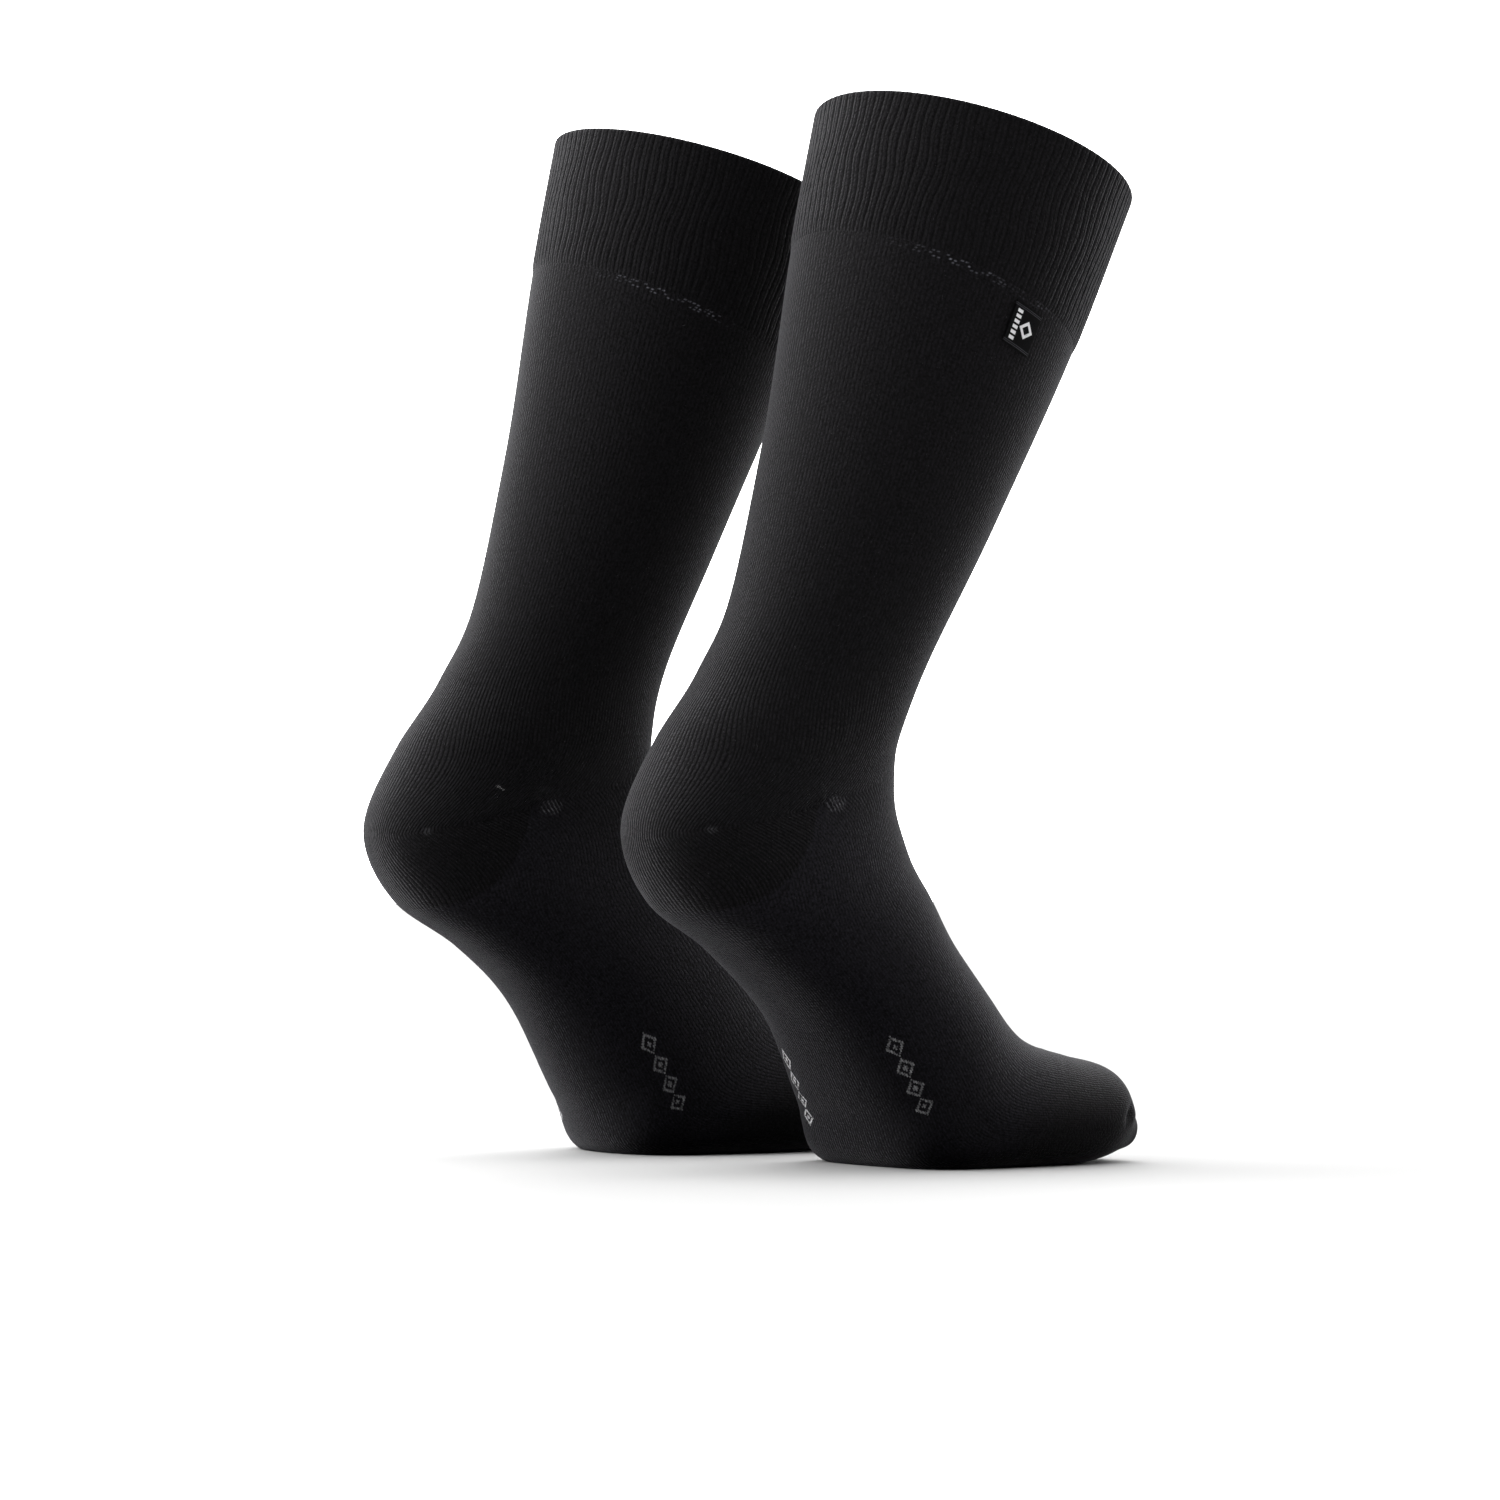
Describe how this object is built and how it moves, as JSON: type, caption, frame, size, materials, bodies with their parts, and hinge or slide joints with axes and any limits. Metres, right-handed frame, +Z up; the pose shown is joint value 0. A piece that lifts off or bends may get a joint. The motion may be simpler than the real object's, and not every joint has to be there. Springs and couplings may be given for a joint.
{
  "type": "pair of socks",
  "caption": "Pair of plain dark calf-length dress socks in fine knit, filled out and standing on their toes, with ribbed cuffs and a small woven label on one leg.",
  "frame": {"origin": "on the floor, at the middle of the pair's bounding box", "axes": "+Z up from the floor to the cuffs; toes point towards -Y; the sock for the right foot is on the -X side and the other on the +X side"},
  "size_m": [0.2546, 0.2242, 0.3859],
  "materials": {
    "knit": "fine plain knit cotton, matt with a faint fuzz, charcoal black",
    "cuff": "ribbed double knit, matt, charcoal black",
    "label": "woven polyester label, dark grey with a slight sheen"
  },
  "bodies": {
    "root": {"cuff_right": "cuff", "leg_right": "knit", "heel_right": "knit", "foot_right": "knit", "toe_right": "knit", "label_right": "label", "cuff_left": "cuff", "leg_left": "knit", "heel_left": "knit", "foot_left": "knit", "toe_left": "knit"}
  },
  "joints": []
}
